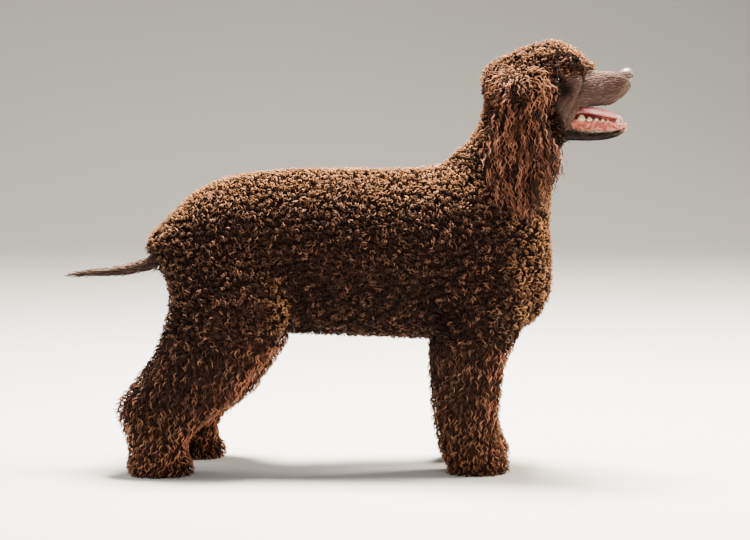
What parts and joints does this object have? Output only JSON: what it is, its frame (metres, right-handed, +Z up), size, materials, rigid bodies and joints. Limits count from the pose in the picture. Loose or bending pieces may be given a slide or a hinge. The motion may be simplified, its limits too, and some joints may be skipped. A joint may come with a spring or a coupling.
{
  "type": "standing curly-coated water spaniel",
  "caption": "Life-size still model of an adult liver water spaniel in show stance, with a topknot, long ringleted ears, open mouth, curly coat and smooth rat tail",
  "frame": {"origin": "on the floor, under the centre of the bounding box", "axes": "+X from tail to nose along the body, +Y to the dog's left, +Z up, away from the floor"},
  "size_m": [1.0626, 0.3044, 0.8043],
  "materials": {
    "curly_coat": "dark liver coat of tight ringlets, redder at the tips",
    "smooth_hair": "short smooth hair of the face and tail, taupe brown",
    "nose_leather": "moist pebbled nose leather, liver brown",
    "eye": "dark brown eye with a wet gloss",
    "mouth_flesh": "wet pink tongue",
    "enamel": "ivory teeth in pink gums"
  },
  "bodies": {
    "root": {"ear_left": "curly_coat", "ear_right": "curly_coat", "forefoot_left": "curly_coat", "forefoot_right": "curly_coat", "foreleg_left": "curly_coat", "foreleg_right": "curly_coat", "head": "curly_coat", "hindfoot_left": "curly_coat", "hindfoot_right": "curly_coat", "hindleg_left": "curly_coat", "hindleg_right": "curly_coat", "neck": "curly_coat", "thigh_left": "curly_coat", "thigh_right": "curly_coat", "trunk": "curly_coat", "muzzle": "smooth_hair", "lower_jaw": "smooth_hair", "tail": "smooth_hair", "nose": "nose_leather", "eye_left": "eye", "eye_right": "eye", "tongue": "mouth_flesh", "lower_teeth": "enamel"}
  },
  "joints": []
}
